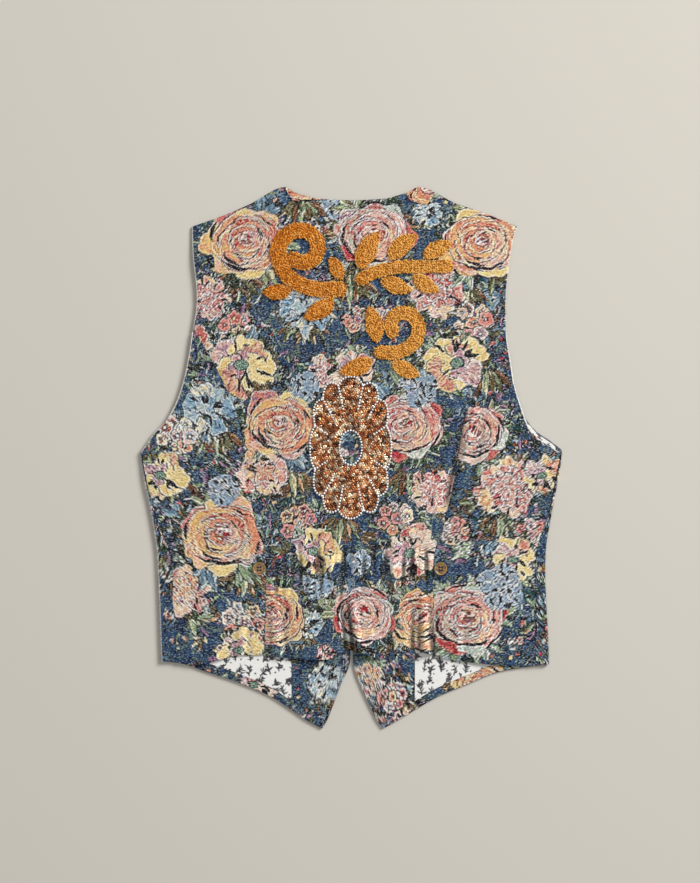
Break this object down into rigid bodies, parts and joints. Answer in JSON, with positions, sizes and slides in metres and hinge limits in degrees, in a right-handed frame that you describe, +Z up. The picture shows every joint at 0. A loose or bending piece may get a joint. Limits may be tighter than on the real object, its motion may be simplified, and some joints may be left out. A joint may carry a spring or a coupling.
{
  "type": "jacquard vest",
  "caption": "Woven floral jacquard vest lying flat with its back up: princess seams, gathered waist with side buttons, longer pointed fronts, gold chenille and copper sequin trim.",
  "frame": {"origin": "middle of the garment's outline, on the surface it lies on", "axes": "+Y towards the neck, +X to the right seen from above with the back up, +Z up"},
  "size_m": [0.4882, 0.6274, 0.0123],
  "materials": {
    "jacquard": "woven, matt",
    "lining": "smooth plain weave, printed",
    "chenille": "looped pile",
    "sequins": "metallic copper sequins with white glass beads round them",
    "horn": "horn look, satin"
  },
  "bodies": {
    "root": {"back_centre": "jacquard", "back_side_left": "jacquard", "back_side_right": "jacquard", "front_left": "jacquard", "front_right": "jacquard", "front_facing_left": "jacquard", "front_lining_left": "lining", "neck_roll_left": "jacquard", "button_left": "horn", "front_facing_right": "jacquard", "front_lining_right": "lining", "neck_roll_right": "jacquard", "button_right": "horn", "armhole_lining_right": "lining", "sequin_medallion": "sequins", "chenille_scroll_upper": "chenille", "chenille_wave_upper": "chenille", "chenille_scroll_lower": "chenille", "chenille_leaf_1": "chenille", "chenille_leaf_2": "chenille", "chenille_leaf_3": "chenille", "chenille_leaf_4": "chenille", "chenille_leaf_5": "chenille", "chenille_leaf_6": "chenille", "chenille_leaf_7": "chenille", "chenille_leaf_8": "chenille", "chenille_leaf_9": "chenille", "chenille_leaf_10": "chenille", "chenille_leaf_11": "chenille"}
  },
  "joints": []
}
